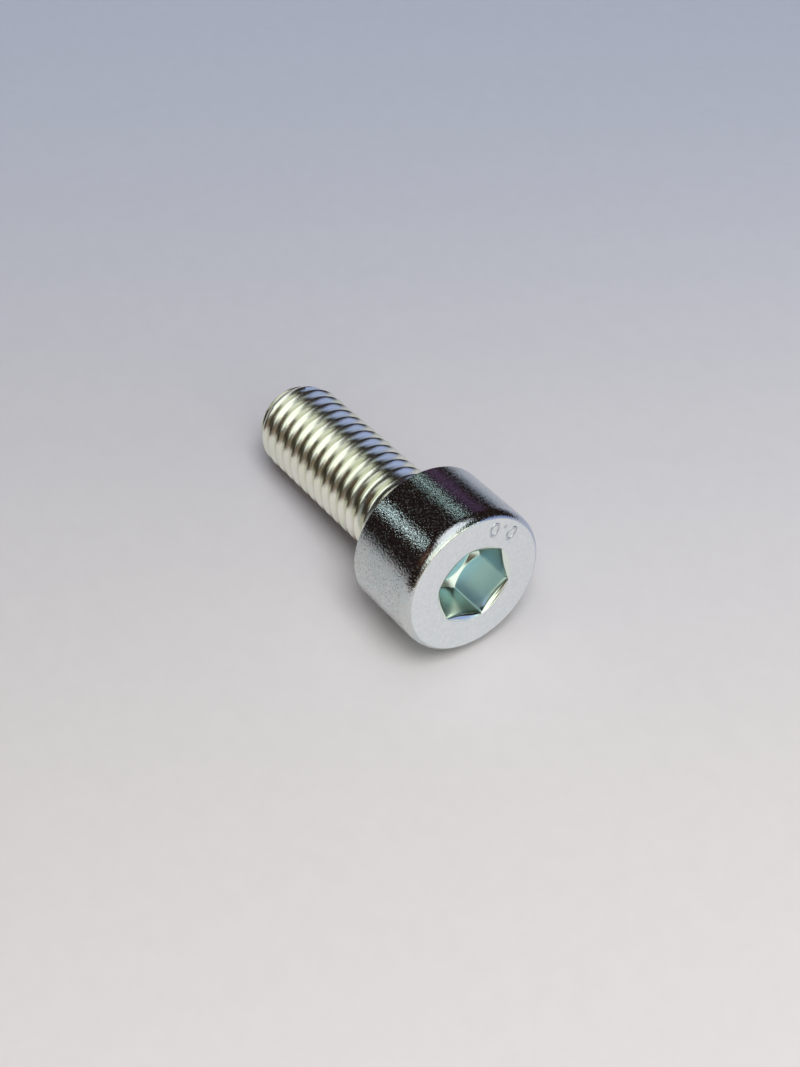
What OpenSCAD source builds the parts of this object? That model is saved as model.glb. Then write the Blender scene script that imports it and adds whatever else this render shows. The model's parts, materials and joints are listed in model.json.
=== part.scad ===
// Hex socket cap screw, M8 x 20, cold forged and threaded in one piece.
// Sizes in millimetres. The screw lies on its side: the rear rim of the head and
// the start of the point touch the ground at z = 0, so its axis climbs slightly
// towards the head, which points along +X.

/* [Shank] */
// Major diameter of the thread
thread_d = 8; // [5:0.1:9]
// Pitch of the thread, which sets the core that the point tapers down to
thread_pitch = 1.25; // [0.5:0.05:1.5]
// Length from under the head to the end of the point
shank_l = 20; // [12:0.5:80]
// Length of the tapered point
point_l = 1.6; // [0.4:0.1:3]
// Radius of the fillet between the shank and the head
neck_r = 0.4; // [0.1:0.05:0.6]

/* [Head] */
// Outer diameter of the head
head_d = 13; // [12:0.1:20]
// Height of the head
head_h = 7.7; // [6:0.1:14]
// Radius of the edge round the driving face
face_edge_r = 0.6; // [0.1:0.05:1]
// Bevel of the edge round the bearing face
rear_bevel = 0.3; // [0.1:0.05:0.6]

/* [Socket] */
// Width of the hex socket across its flats
socket_af = 6.06; // [4:0.02:7.4]
// Depth of the socket, down to its floor
socket_depth = 4.4; // [2.5:0.1:5]
// Height of the bevel round the socket floor, measured in the hex corners
floor_bevel = 0.6; // [0.2:0.1:1]
// How much wider the countersink's mouth is than the hex across its flats
mouth_wider = 1.04; // [0.4:0.02:1.6]
// Full angle of the countersink
mouth_angle = 100; // [80:5:140]
// Turn of the hex about the screw's axis, from a corner straight down
socket_turn = 8.3; // [0:0.1:60]

/* [Hidden] */

// Facet count that asks for a true circle
round_fn = 96;
// Length by which a cutting shape stands clear of the surface it cuts
clear = 1;
// Length by which the shank reaches up inside the head
root_l = 0.5;
// Turn of the round faces' seam about the axis, away from the ground. The hex stays put
seam_turn = 275;

head_r = head_d / 2;
thread_r = thread_d / 2;
// Core radius of an ISO metric thread is the major radius less 0.6134 pitch
core_r = thread_r - 0.6134 * thread_pitch;
// Diameter of the countersink at the mouth
mouth_d = socket_af + mouth_wider;
// Radius to a corner of the hex
corner_r = socket_af / 2 / cos(30);
// Radius of the flat part of the socket floor, inside its bevel
floor_r = corner_r - floor_bevel;
// Depth of the countersink, if the socket were a cone down to its point
mouth_cone_h = mouth_d / 2 / tan(mouth_angle / 2);

// The screw rests on two circles: the head's rear rim and the start of the point
rim_z = rear_bevel;
point_z = -(shank_l - point_l);
lie_angle = atan((head_r - thread_r) / (rim_z - point_z));

// Reach of the tilted screw along X, on each side of the bearing face's centre
reach_head = (head_r - face_edge_r) * sin(lie_angle)
    + (head_h - face_edge_r) * cos(lie_angle) + face_edge_r;
reach_point = core_r * sin(lie_angle) + shank_l * cos(lie_angle);
// Centre of the bearing face, with the box centred on the origin and resting on z = 0
seat_x = (reach_point - reach_head) / 2;
seat_z = head_r * cos(lie_angle) - rim_z * sin(lie_angle);

// Head without its socket, on z = 0 with the driving face up
module head_blank() {
    color([0.78, 0.81, 0.85])
        rotate_extrude($fn = round_fn)
            union() {
                polygon([
                    [0, 0],
                    [head_r - rear_bevel, 0],
                    [head_r, rear_bevel],
                    [head_r, head_h - face_edge_r],
                    [head_r - face_edge_r, head_h - face_edge_r],
                    [head_r - face_edge_r, head_h],
                    [0, head_h]
                ]);
                translate([head_r - face_edge_r, head_h - face_edge_r])
                    circle(r = face_edge_r, $fn = round_fn);
            }
}

// Hex part of the socket, with the bevel that leads down to its flat floor
module socket_hex() {
    floor_z = head_h - socket_depth;
    bevel_end_r = corner_r + clear;
    bevel_end_z = floor_z + floor_bevel + clear;
    intersection() {
        translate([0, 0, floor_z])
            rotate([0, 0, socket_turn - seam_turn])
                cylinder(r = corner_r, h = socket_depth + clear, $fn = 6);
        rotate_extrude($fn = round_fn)
            polygon([
                [0, floor_z],
                [floor_r, floor_z],
                [bevel_end_r, bevel_end_z],
                [bevel_end_r, head_h + clear],
                [0, head_h + clear]
            ]);
    }
}

// Countersink that breaks the edge of the hex
module socket_mouth() {
    top_r = mouth_d / 2 + clear * tan(mouth_angle / 2);
    rotate_extrude($fn = round_fn)
        polygon([
            [0, head_h - mouth_cone_h],
            [top_r, head_h + clear],
            [0, head_h + clear]
        ]);
}

// Head with its hex socket
module head() {
    color([0.78, 0.81, 0.85])
        difference() {
            head_blank();
            socket_hex();
            socket_mouth();
        }
}

// Threaded shank as a plain rod of the major diameter, with its point and neck
module shank() {
    color([0.80, 0.81, 0.78])
        rotate_extrude($fn = round_fn)
            difference() {
                polygon([
                    [0, -shank_l],
                    [core_r, -shank_l],
                    [thread_r, point_z],
                    [thread_r, -neck_r],
                    [thread_r + neck_r, -neck_r],
                    [thread_r + neck_r, 0],
                    [thread_r, root_l],
                    [0, root_l]
                ]);
                translate([thread_r + neck_r, -neck_r])
                    circle(r = neck_r, $fn = round_fn);
            }
}

// Whole screw, laid down on its rear rim and its point
module cap_screw() {
    translate([seat_x, 0, seat_z])
        rotate([0, 90 - lie_angle, 0])
            rotate([0, 0, seam_turn])
                union() {
                    head();
                    shank();
                }
}

cap_screw();
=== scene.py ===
import json
import math

import bmesh
import bpy
import numpy as np
from mathutils import Matrix, Vector


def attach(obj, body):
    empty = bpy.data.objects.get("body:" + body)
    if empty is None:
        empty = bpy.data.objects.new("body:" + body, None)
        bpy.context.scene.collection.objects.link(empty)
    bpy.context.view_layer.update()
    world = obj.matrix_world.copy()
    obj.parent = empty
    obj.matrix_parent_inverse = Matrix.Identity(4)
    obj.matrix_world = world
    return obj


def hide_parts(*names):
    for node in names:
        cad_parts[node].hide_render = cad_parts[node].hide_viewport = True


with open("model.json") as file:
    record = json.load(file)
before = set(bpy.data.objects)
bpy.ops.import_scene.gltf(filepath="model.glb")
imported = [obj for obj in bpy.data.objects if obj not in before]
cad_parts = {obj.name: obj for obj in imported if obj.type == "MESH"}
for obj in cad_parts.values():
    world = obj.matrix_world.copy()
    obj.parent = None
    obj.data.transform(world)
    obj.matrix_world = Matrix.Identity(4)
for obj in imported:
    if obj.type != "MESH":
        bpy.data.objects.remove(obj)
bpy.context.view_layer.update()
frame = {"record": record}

# ---------------------------------------------------------------- the screw's own frame
# Lengths on the screw are in millimetres along and round its axis. "Height" runs
# along the axis, from 0 at the bearing face under the head to 7.7 at the driving
# face, and down to -20 at the point. "Turn" is the angle round the axis, from
# straight down towards +Y.
MM = 0.001
mounts = {m["name"]: m for m in frame["record"]["mounts"]}
AXIS = np.array(mounts["key_socket"]["axis"])
AXIS = AXIS / np.linalg.norm(AXIS)
SIDEWAYS = np.array([0.0, 1.0, 0.0])
DOWN = np.cross(SIDEWAYS, AXIS)

HEAD_R = mounts["head_rim"]["dims"]["r_mm"]
HEAD_H = 7.7
FACE_EDGE_R = 0.6
THREAD_R = mounts["thread"]["dims"]["r_mm"]
PITCH = 1.25
THREAD_START = 0.798
CORE_R = THREAD_R - 0.6134 * PITCH
SHANK_L = 20.0
POINT_L = 1.6
END_ROUND = 0.14
NECK_R = 3.78
NECK_FILLET = 0.5
SOCKET_FLAT_R = 3.03
SOCKET_CORNER_ROUND = 0.16
SOCKET_DEPTH = 4.4
SOCKET_FLOOR_R = 2.9
SOCKET_TURN = math.radians(8.3)
MOUTH_R = 3.56
LIP_SLOPE = 0.84
LIP_END = 66.0
# The rounded edge of the face is a little longer along the axis than it is wide
EDGE_H = 0.95
# How much the head's side draws in towards the face
CROWN = 0.03

SEAT = np.array(mounts["key_socket"]["pos_m"]) - HEAD_H * MM * AXIS

# ---------------------------------------------------------------- shape of the screw
COLUMNS_A_SIXTH = 30


def turns():
    """Angles of the columns: six equal sixths from hex corner to hex corner, closer together near
    each corner, t + a * (sin(pi t / 2) - t) for t from -1 to 1; the last column repeats the first."""
    t = np.linspace(-1.0, 1.0, COLUMNS_A_SIXTH + 1)[:-1]
    crowded = t + 0.8 * (np.sin(0.5 * np.pi * t) - t)
    sixth = math.radians(30.0) * (1.0 + crowded)
    whole = (sixth[None, :] + math.radians(60.0) * np.arange(6)[:, None]).ravel()
    return SOCKET_TURN + np.append(whole, math.radians(360.0))


def hexagon(turn, flat, corner_round):
    """Radius of a hexagon with rounded corners: flat / cos(angle from the flat's middle), and near
    a corner the far side of a circle of that rounding whose centre is on the corner's bisector."""
    from_corner = (turn - SOCKET_TURN + math.radians(30.0)) % math.radians(60.0) - math.radians(30.0)
    from_flat = math.radians(30.0) - np.abs(from_corner)
    straight = flat / np.cos(from_flat)
    centre = (flat - corner_round) / math.cos(math.radians(30.0))
    reach = np.sqrt(np.maximum(corner_round**2 - (centre * np.sin(from_corner)) ** 2, 0.0))
    rounded = centre * np.cos(from_corner) + reach
    ends = math.atan2(corner_round * 0.5, centre + corner_round * math.cos(math.radians(30.0)))
    return np.where(np.abs(from_corner) < ends, rounded, straight)


def soft_min(a, b, width):
    """The smaller of two lengths. Where they are nearer than width, it is less a quarter of width
    times the square of how near they are, from 0 to 1, which rounds the corner between them."""
    near = np.maximum(width - np.abs(a - b), 0.0) / width
    return np.minimum(a, b) - near * near * width * 0.25


def soft_max(a, b, width):
    """The larger of two lengths, rounded in the same way: minus the soft_min of their negatives."""
    return -soft_min(-a, -b, width)


def smooth(x, start, end):
    """0 before start and 1 after end, and 3 t squared less 2 t cubed between them."""
    t = np.clip((x - start) / (end - start), 0.0, 1.0)
    return t * t * (3.0 - 2.0 * t)


def thread_radius(height, turn):
    """Radius of a right-handed 60-degree thread: from the root's bottom it climbs by
    1 / tan(30 degrees) of the distance along the axis up to the crest, both rounded. It is cut off by the
    cone of the point, ends in a small rounding, and runs out into the plain neck under the head."""
    phase = height / PITCH - THREAD_START - (turn - SOCKET_TURN) / math.radians(360.0)
    from_root = np.abs(phase - np.round(phase))
    flank = CORE_R + (from_root - 0.083) * PITCH / math.tan(math.radians(30.0))
    ridge = soft_min(soft_max(flank, CORE_R, 0.22), THREAD_R + 0.04, 0.42)
    past_point = -(SHANK_L - POINT_L) - height
    cone = THREAD_R - (THREAD_R - CORE_R) * past_point / POINT_L
    ridge = soft_min(ridge, cone, 0.12)
    last = np.clip(-(SHANK_L - END_ROUND) - height, 0.0, END_ROUND)
    end_arc = CORE_R - END_ROUND + np.sqrt(END_ROUND**2 - last**2)
    ridge = np.where(last > 0.0, np.minimum(ridge, end_arc), ridge)
    plain = smooth(height, -1.7, -0.55)
    return ridge + (NECK_R - ridge) * plain


def swept(first, last, count, keep_first=True):
    """Evenly spaced steps from first to last as a column, with or without the first."""
    steps = np.linspace(first, last, count + 1)[:, None]
    return steps if keep_first else steps[1:]


def screw_surface():
    """Radius and height of every row from the middle of the socket's floor, up its walls, over the
    lip, across the face, down the side, under the head, along the thread and over the end to its middle.
    The lip goes out by 1 - cos and up by sin of an angle, the face's edge and the neck's fillet are quarter
    ellipses, the side draws in with the square of the height, and the end bulges with 1 - share squared."""
    turn = turns()[None, :]
    level = np.ones_like(turn)
    floor_h = HEAD_H - SOCKET_DEPTH
    wall_r = hexagon(turn, SOCKET_FLAT_R, SOCKET_CORNER_ROUND)
    round_mouth = MOUTH_R * level
    hex_mouth = hexagon(turn, MOUTH_R, 0.5)
    mouth_r = round_mouth + 0.15 * (hex_mouth - round_mouth)
    lip_h = LIP_SLOPE * (mouth_r - wall_r)
    rows = []

    step = swept(0.0, 1.0, 6)
    rows.append((SOCKET_FLOOR_R * step * level, floor_h * level + 0.0 * step))
    step = swept(0.0, 1.0, 5, False)
    bevel_r = SOCKET_FLOOR_R + (wall_r - SOCKET_FLOOR_R) * step
    rows.append((bevel_r, floor_h + bevel_r - SOCKET_FLOOR_R))
    wall_foot = floor_h + wall_r - SOCKET_FLOOR_R
    wall_top = HEAD_H - lip_h
    step = swept(0.0, 1.0, 7, False)
    rows.append((wall_r + 0.0 * step, wall_foot + (wall_top - wall_foot) * step))
    end = math.radians(LIP_END)
    step = swept(0.0, end, 12, False)
    lip_out = (1.0 - np.cos(step)) / (1.0 - math.cos(end))
    lip_up = np.sin(step) / math.sin(end)
    rows.append((wall_r + (mouth_r - wall_r) * lip_out, wall_top + lip_h * lip_up))
    step = swept(0.0, 1.0, 6, False)
    face_r = HEAD_R - FACE_EDGE_R
    rows.append((mouth_r + (face_r - mouth_r) * step, HEAD_H * level + 0.0 * step))
    step = swept(0.0, 0.5 * np.pi, 12, False)
    rows.append((
        (face_r + (FACE_EDGE_R - CROWN) * np.sin(step)) * level,
        (HEAD_H - EDGE_H + EDGE_H * np.cos(step)) * level,
    ))
    side_h = swept(HEAD_H - EDGE_H, 0.38, 9, False)
    drawn_in = CROWN * np.clip((side_h - 4.3) / 2.8, 0.0, 1.0) ** 2
    rows.append(((HEAD_R - drawn_in) * level, side_h * level))
    # The rear rim's 45-degree bevel, with both of its corners rounded
    under = np.array([
        [6.5, 0.34], [6.497, 0.31], [6.488, 0.285], [6.47, 0.268],
        [6.25, 0.048], [6.225, 0.025], [6.195, 0.01], [6.15, 0.0], [6.0, 0.0],
    ])
    rows.append((under[:, :1] * level, under[:, 1:] * level))
    step = swept(6.0, NECK_R + NECK_FILLET, 5, False)
    rows.append((step * level, 0.0 * step * level))
    step = swept(0.0, 0.5 * np.pi, 8, False)
    rows.append((
        (NECK_R + NECK_FILLET - NECK_FILLET * np.sin(step)) * level,
        (-NECK_FILLET + NECK_FILLET * np.cos(step)) * level,
    ))

    # Rows of half a pitch, closer together at the root and the crest; the other half mirrors them
    half = np.array([0.0, 0.04, 0.075, 0.105, 0.15, 0.22, 0.31, 0.375, 0.41, 0.44, 0.47, 0.5])
    of_a_pitch = np.append(half, 1.0 - half[-2:0:-1])
    pitches = np.arange(-18, 1)
    phases = (pitches[:, None] + of_a_pitch[None, :]).ravel()[::-1][:, None]
    height = PITCH * (phases + THREAD_START + (turn - SOCKET_TURN) / math.radians(360.0))
    height = np.clip(height, -SHANK_L, -NECK_FILLET)
    moved = np.any(np.diff(height, axis=0) != 0.0, axis=1)
    height = height[1:][moved]
    rows.append((thread_radius(height, turn), height))
    step = swept(1.0, 0.0, 6, False)
    rows.append(((CORE_R - END_ROUND) * step * level, (-SHANK_L + 0.12 * (1.0 - step * step)) * level))

    radius = np.vstack([r for r, h in rows])
    height = np.vstack([h + 0.0 * r for r, h in rows])
    return radius, height, np.broadcast_to(turn, radius.shape)


def surface_mesh(name, radius, height, turn):
    """A mesh from rows and columns: each point is the seat, plus radius * cos(turn) downwards, plus
    radius * sin(turn) sideways, plus height along the axis. Points that meet are welded, which closes the
    seam, both middles and the ends of the thread's slanting rows."""
    out = (radius * np.cos(turn))[..., None] * DOWN + (radius * np.sin(turn))[..., None] * SIDEWAYS
    points = SEAT + MM * (out + height[..., None] * AXIS)
    count_rows, count_columns = radius.shape
    index = np.arange(count_rows * count_columns).reshape(count_rows, count_columns)
    quads = np.stack([index[:-1, :-1], index[1:, :-1], index[1:, 1:], index[:-1, 1:]], axis=-1)
    mesh = bpy.data.meshes.new(name)
    mesh.from_pydata(points.reshape(-1, 3), [], quads.reshape(-1, 4))
    welded = bmesh.new()
    welded.from_mesh(mesh)
    bmesh.ops.remove_doubles(welded, verts=welded.verts, dist=0.0008 * MM)
    bmesh.ops.dissolve_degenerate(welded, edges=welded.edges, dist=0.0008 * MM)
    if welded.calc_volume(signed=True) < 0.0:
        bmesh.ops.reverse_faces(welded, faces=welded.faces)
    for face in welded.faces:
        face.smooth = True
    welded.to_mesh(mesh)
    welded.free()
    mesh.set_sharp_from_angle(angle=math.radians(38.0))
    return mesh


# ---------------------------------------------------------------- shader maths
class Wire:
    """A shader socket that can be used in Python expressions; each operator adds one Math node."""

    def __init__(self, tree, socket=None):
        self.tree = tree
        self.socket = socket

    def node(self, kind, settings, values, output=0):
        """Adds a node: its settings first, then the value or link of each socket, and returns the
        named or numbered output, or nothing to link from where the node has no output."""
        made = self.tree.nodes.new(kind)
        for key, value in settings.items():
            setattr(made, key, value)
        for key, value in values.items():
            if isinstance(value, Wire):
                self.tree.links.new(value.socket, made.inputs[key])
            else:
                made.inputs[key].default_value = value
        return Wire(self.tree, made.outputs[output] if made.outputs else None)

    def math(self, operation, *values):
        return self.node("ShaderNodeMath", {"operation": operation}, dict(enumerate(values)))

    def vector(self, operation, *values, output=0):
        return self.node("ShaderNodeVectorMath", {"operation": operation}, dict(enumerate(values)), output)

    def __add__(self, other):
        return self.math("ADD", self, other)

    __radd__ = __add__

    def __sub__(self, other):
        return self.math("SUBTRACT", self, other)

    def __rsub__(self, other):
        return self.math("SUBTRACT", other, self)

    def __mul__(self, other):
        return self.math("MULTIPLY", self, other)

    __rmul__ = __mul__

    def __truediv__(self, other):
        return self.math("DIVIDE", self, other)

    def __rtruediv__(self, other):
        return self.math("DIVIDE", other, self)

    def __pow__(self, other):
        return self.math("POWER", self, other)

    def size(self):
        return self.math("ABSOLUTE", self)

    def step(self, start, end):
        """An S-shaped step from 0 at start to 1 at end."""
        settings = {"interpolation_type": "SMOOTHSTEP"}
        values = {"Value": self, "From Min": start, "From Max": end}
        return self.node("ShaderNodeMapRange", settings, values)

    def band(self, start, end, soft):
        """1 between start and end, fading to 0 over soft on each side."""
        return self.step(start - soft, start + soft) * (1.0 - self.step(end - soft, end + soft))

    def mix(self, first, second):
        """A colour that goes from first to second as this value goes from 0 to 1."""
        settings = {"data_type": "RGBA", "clamp_factor": True}
        return self.node("ShaderNodeMix", settings, {0: self, 6: first, 7: second}, 2)

    def noise(self, place, scale, detail, roughness):
        """Cloudy values round 0.5 at each place; a larger scale makes smaller clouds."""
        values = {"Vector": place, "Scale": scale, "Detail": detail, "Roughness": roughness}
        return self.node("ShaderNodeTexNoise", {"noise_dimensions": "3D"}, values)


def emptied(owner):
    """The node tree of a material or a world with nothing in it, as a Wire to start from."""
    owner.use_nodes = True
    owner.node_tree.nodes.clear()
    return Wire(owner.node_tree)


def colour(r, g, b):
    return (r, g, b, 1.0)


def zinc_material():
    """Blue-white zinc plate: satin on the driving face, mirror-like with a fine grain on the head's
    side, smooth and pale green in the socket with painted shade that makes it darker and teal deep
    down, yellowish on the thread with painted shade in its grooves and on its underside."""
    material = bpy.data.materials.new("zinc_plate")
    start = emptied(material)
    place = start.node("ShaderNodeTexCoord", {}, {}, "Object")
    from_seat = start.vector("SUBTRACT", place, tuple(SEAT))
    in_mm = start.vector("MULTIPLY", from_seat, (1000.0, 1000.0, 1000.0))
    height = start.vector("DOT_PRODUCT", in_mm, tuple(AXIS), output="Value")
    across = start.vector("DOT_PRODUCT", in_mm, tuple(SIDEWAYS), output="Value")
    down = start.vector("DOT_PRODUCT", in_mm, tuple(DOWN), output="Value")
    radius = (across * across + down * down) ** 0.5

    inside = 1.0 - radius.step(4.2, 4.6)
    on_face = height.step(7.655, 7.69)
    in_socket = height.step(2.8, 3.1) * inside * (1.0 - on_face)
    on_thread = 1.0 - height.step(-0.6, -0.2)

    grain = start.noise(in_mm, 6.2, 2.0, 0.6)
    speck = start.noise(in_mm, 7.0, 2.0, 0.65)
    wavy = start.noise(in_mm, 2.6, 1.0, 0.5)
    fine = start.noise(in_mm, 14.0, 1.0, 0.5)
    clouds = start.noise(in_mm, 0.55, 3.0, 0.55)
    mottle = start.noise(in_mm, 3.2, 3.0, 0.65)

    def ring(at_turn, at_radius, long, wide):
        """Distance from an oval's middle as a share of its size: 1 on its outline. Its long side
        points away from the axis."""
        a = math.radians(at_turn)
        off_down = down - at_radius * math.cos(a)
        off_side = across - at_radius * math.sin(a)
        outward = (off_down * math.cos(a) + off_side * math.sin(a)) / long
        around = (off_side * math.cos(a) - off_down * math.sin(a)) / wide
        return (outward * outward + around * around) ** 0.5

    marks = ring(154.5, 5.0, 0.62, 0.42).band(0.70, 1.0, 0.12)
    marks = marks + ring(132.0, 5.0, 0.62, 0.42).band(0.70, 1.0, 0.12)
    marks = marks + (1.0 - ring(143.3, 5.35, 0.14, 0.14).step(0.7, 1.2))

    side_tint = clouds.step(0.3, 0.7).mix(colour(0.62, 0.69, 0.70), colour(0.69, 0.71, 0.69))
    face_tint = mottle.step(0.35, 0.65).mix(colour(0.80, 0.86, 0.89), colour(0.88, 0.91, 0.93))
    thread_tint = clouds.step(0.3, 0.7).mix(colour(0.88, 0.90, 0.76), colour(0.92, 0.92, 0.84))
    angle = start.math("ARCTAN2", across, down)
    phase = start.math("FRACT", height / PITCH - THREAD_START - (angle - SOCKET_TURN) / math.radians(360.0))
    threaded = on_thread * (1.0 - height.step(-1.4, -1.0)) * radius.step(3.13, 3.21)
    # Painted shade: the lower part of each flank, down towards the root, is painted olive and darker.
    painted_flank_shade = phase.step(0.70, 0.90) * threaded
    thread_tint = painted_flank_shade.mix(thread_tint, colour(0.62, 0.63, 0.44))
    # Painted shade: thin dark brown lines are painted along each crest's far edge and in each root.
    painted_groove_shade = (phase.band(0.43, 0.507, 0.02) + phase.step(0.95, 0.98)) * threaded
    thread_tint = painted_groove_shade.mix(thread_tint, colour(0.17, 0.12, 0.07))
    # Painted shade: the thread's underside, towards the floor, is painted brown and darker.
    painted_underside_shade = down.step(1.35, 2.2) * radius.step(3.13, 3.21)
    thread_tint = painted_underside_shade.mix(thread_tint, colour(0.40, 0.31, 0.23))
    dull = (1.0 - speck.step(0.36, 0.50)) * radius.step(6.0, 6.3) * (1.0 - height.step(6.5, 6.9)) * 0.7
    side_tint = across.step(2.5, 6.2).mix(side_tint, colour(0.50, 0.58, 0.74))
    side_tint = dull.mix(side_tint, colour(0.26, 0.27, 0.27))
    base = on_face.mix(side_tint, face_tint)
    # Painted shade: the socket is painted darker and bluer deep down, on its floor and lower walls but not
    # on the bevel between them.
    painted_socket_shade = (1.0 - height.step(3.4, 5.6)) * (height - radius).step(0.44, 0.52)
    socket_tint = painted_socket_shade.mix(colour(0.84, 0.93, 0.85), colour(0.54, 0.71, 0.76))
    base = in_socket.mix(base, socket_tint)
    base = on_thread.mix(base, thread_tint)
    base = (marks * on_face * 0.3).mix(base, colour(0.45, 0.50, 0.56))

    on_side = radius.step(6.0, 6.3) * (1.0 - on_face)
    rough = 0.04 + 0.30 * on_face + 0.16 * on_thread + 0.30 * speck.step(0.52, 0.64) * on_side
    rough = rough + in_socket * (0.03 + 0.14 * (1.0 - height.step(7.0, 7.3)))

    smoothed = (1.0 - 0.75 * on_thread) * (1.0 - 0.92 * in_socket) * (1.0 - 0.8 * on_face)
    relief = (grain * 0.021 + wavy * 0.008) * smoothed + fine * 0.004 * (1.0 - 0.9 * in_socket)
    relief = relief + marks * 0.11 * on_face + mottle * 0.012 * on_face
    bump = start.node("ShaderNodeBump", {}, {"Height": relief, "Strength": 1.0, "Distance": 0.001})

    finish = {"Metallic": 1.0, "Base Color": base, "Roughness": rough, "Normal": bump}
    surface = start.node("ShaderNodeBsdfPrincipled", {}, finish)
    start.node("ShaderNodeOutputMaterial", {}, {"Surface": surface})
    return material


radius, height, turn = screw_surface()
screw_mesh = surface_mesh("hex_socket_cap_screw", radius, height, turn)
screw = bpy.data.objects.new("hex_socket_cap_screw", screw_mesh)
bpy.context.scene.collection.objects.link(screw)
screw.data.materials.append(zinc_material())
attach(screw, "root")
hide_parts("cap_screw")


# ---------------------------------------------------------------- floor
def floor_material():
    """Pale paper with painted light: a little cooler and darker away from the light, much darker far from
    the screw, and a very faint grain.
    """
    material = bpy.data.materials.new("pale_floor")
    start = emptied(material)
    place = start.node("ShaderNodeTexCoord", {}, {}, "Object")
    grain = start.noise(place, 500.0, 3.0, 0.6)
    toward_light = start.vector("DOT_PRODUCT", place, (0.976, -0.218, 0.0), output="Value")
    toward_front = start.vector("DOT_PRODUCT", place, (0.825, -0.565, 0.0), output="Value")
    # Painted light and shade: cool and bluish towards the back, brighter towards the key light, and painted
    # darker far from the screw.
    tone = toward_front.step(-0.11, 0.04).mix(colour(0.62, 0.67, 0.84), colour(0.79, 0.755, 0.755))
    lit = 0.80 + 0.34 * toward_light.step(-0.06, 0.11)
    far = start.vector("LENGTH", place, output="Value").step(0.105, 0.20)
    shade = lit * (0.97 + 0.06 * grain) * (1.0 - 0.75 * far)
    tone = start.node("ShaderNodeVectorMath", {"operation": "SCALE"}, {0: tone, "Scale": shade})
    finish = {"Base Color": tone, "Roughness": 0.75, "Specular IOR Level": 0.3}
    surface = start.node("ShaderNodeBsdfPrincipled", {}, finish)
    start.node("ShaderNodeOutputMaterial", {}, {"Surface": surface})
    return material


reach = 0.22
corners = [(-reach, -reach, 0.0), (reach, -reach, 0.0), (reach, reach, 0.0), (-reach, reach, 0.0)]
floor_mesh = bpy.data.meshes.new("floor")
floor_mesh.from_pydata(corners, [], [(0, 1, 2, 3)])
floor = bpy.data.objects.new("floor", floor_mesh)
bpy.context.scene.collection.objects.link(floor)
floor.data.materials.append(floor_material())


# ---------------------------------------------------------------- studio light
def heading(azimuth, elevation):
    """Unit vector at that azimuth from +X towards +Y and that elevation above level."""
    a, e = math.radians(azimuth), math.radians(elevation)
    return Vector((math.cos(a) * math.cos(e), math.sin(a) * math.cos(e), math.sin(e)))


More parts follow.
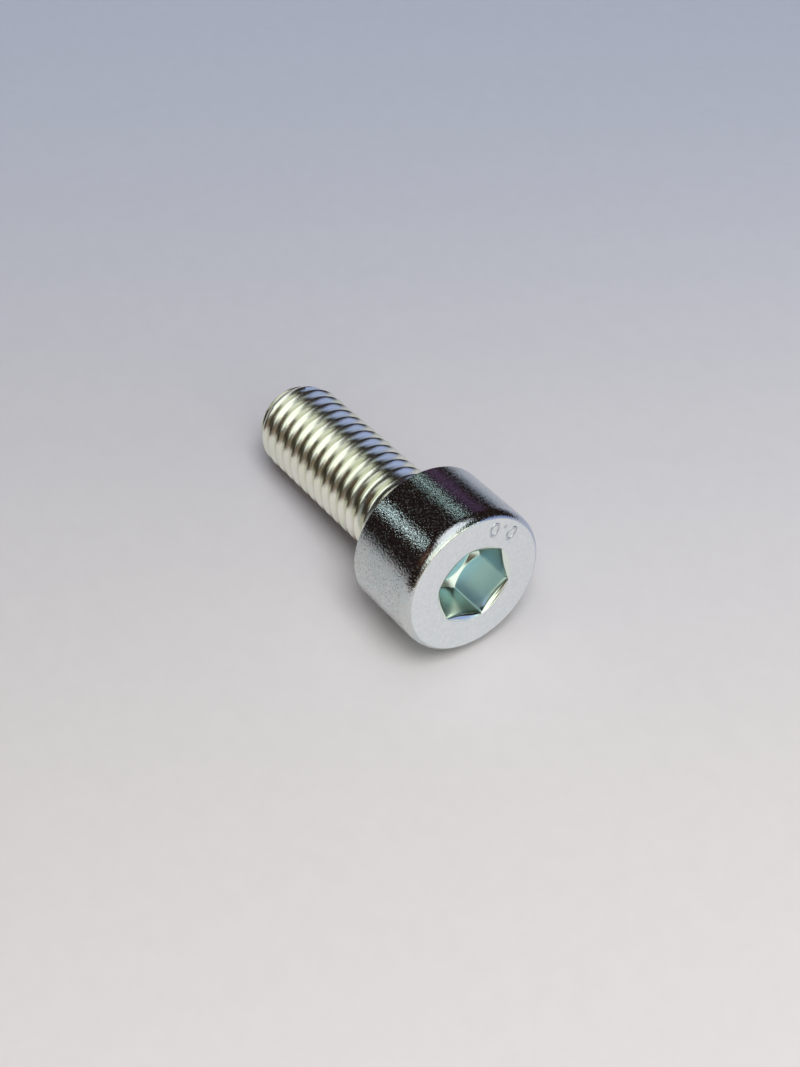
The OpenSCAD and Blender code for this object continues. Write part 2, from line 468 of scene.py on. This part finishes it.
def studio_surroundings():
    """A dark room with a few soft panels far away, each a soft-edged rectangle of light on the sky,
    and a plain pale backdrop that only the camera sees."""
    world = bpy.data.worlds.new("studio")
    bpy.context.scene.world = world
    start = emptied(world)
    toward = start.node("ShaderNodeTexCoord", {}, {}, "Generated")

    def panel(sky, azimuth, elevation, half_width, half_height, soft, lean, tint):
        """Adds one panel. Its edges are measured as tangents from its middle, so it stays a true
        rectangle, turned by lean degrees; soft is the share of each half size over which it fades."""
        middle = heading(azimuth, elevation)
        level = middle.cross(Vector((0, 0, 1))).normalized()
        upright = level.cross(middle).normalized()
        turned = Matrix.Rotation(math.radians(lean), 3, middle)
        level, upright = turned @ level, turned @ upright
        ahead = start.vector("DOT_PRODUCT", toward, tuple(middle), output="Value")
        right = start.vector("DOT_PRODUCT", toward, tuple(level), output="Value") / ahead
        above = start.vector("DOT_PRODUCT", toward, tuple(upright), output="Value") / ahead
        wide, high = math.tan(math.radians(half_width)), math.tan(math.radians(half_height))
        in_width = 1.0 - right.size().step(wide * (1 - soft), wide * (1 + soft))
        in_height = 1.0 - above.size().step(high * (1 - soft), high * (1 + soft))
        share = in_width * in_height * ahead.step(0.0, 0.05)
        glow = share.mix(colour(0, 0, 0), colour(*tint))
        return start.vector("ADD", sky, glow)

    upward = start.node("ShaderNodeSeparateXYZ", {}, {"Vector": toward}, "Z")
    sky = upward.step(0.86, 0.93).mix(colour(0.018, 0.012, 0.011), colour(1.05, 1.08, 1.15))
    sky = panel(sky, 4, 17, 21, 11, 0.4, 0, (1.7, 1.7, 1.4))
    sky = panel(sky, 49, 9, 22, 15, 0.35, 0, (0.33, 0.41, 0.72))
    sky = panel(sky, 26, 15, 9, 13, 0.6, 0, (0.34, 0.42, 0.30))
    sky = panel(sky, -32, 5, 17, 9, 0.5, 0, (0.13, 0.09, 0.05))
    sky = panel(sky, -148, 31, 2.4, 4.2, 0.2, -35, (2.5, 3.0, 3.0))
    sky = panel(sky, 151, 34, 1.1, 5.6, 0.3, 60, (1.8, 2.5, 2.4))
    sky = panel(sky, 138, 19, 8, 3.0, 0.6, 0, (0.16, 0.08, 0.20))
    sky = panel(sky, -20, 46, 27, 21, 0.25, 0, (1.1, 1.18, 1.10))
    sky = panel(sky, -95, 43, 25, 10, 0.5, 0, (0.08, 0.035, 0.02))
    seen = start.node("ShaderNodeLightPath", {}, {}, "Is Camera Ray")
    shown = seen.mix(sky, colour(0.42, 0.44, 0.50))
    back = start.node("ShaderNodeBackground", {}, {"Color": shown, "Strength": 1.0})
    start.node("ShaderNodeOutputWorld", {}, {"Surface": back})


def soft_box(name, azimuth, elevation, distance, size, watts, tint):
    """A square soft light that points at the screw."""
    data = bpy.data.lights.new(name, "AREA")
    data.shape = "SQUARE"
    data.size = size
    data.energy = watts
    data.color = tint
    light = bpy.data.objects.new(name, data)
    away = heading(azimuth, elevation)
    light.location = away * distance
    light.rotation_mode = "QUATERNION"
    light.rotation_quaternion = away.to_track_quat("Z", "Y")
    light.visible_glossy = False
    bpy.context.scene.collection.objects.link(light)


studio_surroundings()
soft_box("key", -16, 66, 0.40, 0.18, 0.80, (1.0, 0.985, 0.97))

# ---------------------------------------------------------------- camera
camera_data = bpy.data.cameras.new("camera")
camera_data.sensor_width = 36.0
camera_data.lens = 36.0 * 1629.54 / 1067.0
camera_data.clip_start = 0.001
camera_data.clip_end = 10.0
camera = bpy.data.objects.new("camera", camera_data)
camera.location = Vector((0.0786283, -0.0516932, 0.1050904))
ahead = Vector((-0.553383, 0.378970, -0.741720))
rightwards = Vector((0.565029, 0.825071, 0.0))
upwards = rightwards.cross(ahead).normalized()
camera.rotation_mode = "QUATERNION"
camera.rotation_quaternion = Matrix((rightwards, upwards, -ahead)).transposed().to_quaternion()
bpy.context.scene.collection.objects.link(camera)
bpy.context.scene.camera = camera
bpy.context.scene.view_settings.view_transform = "Standard"
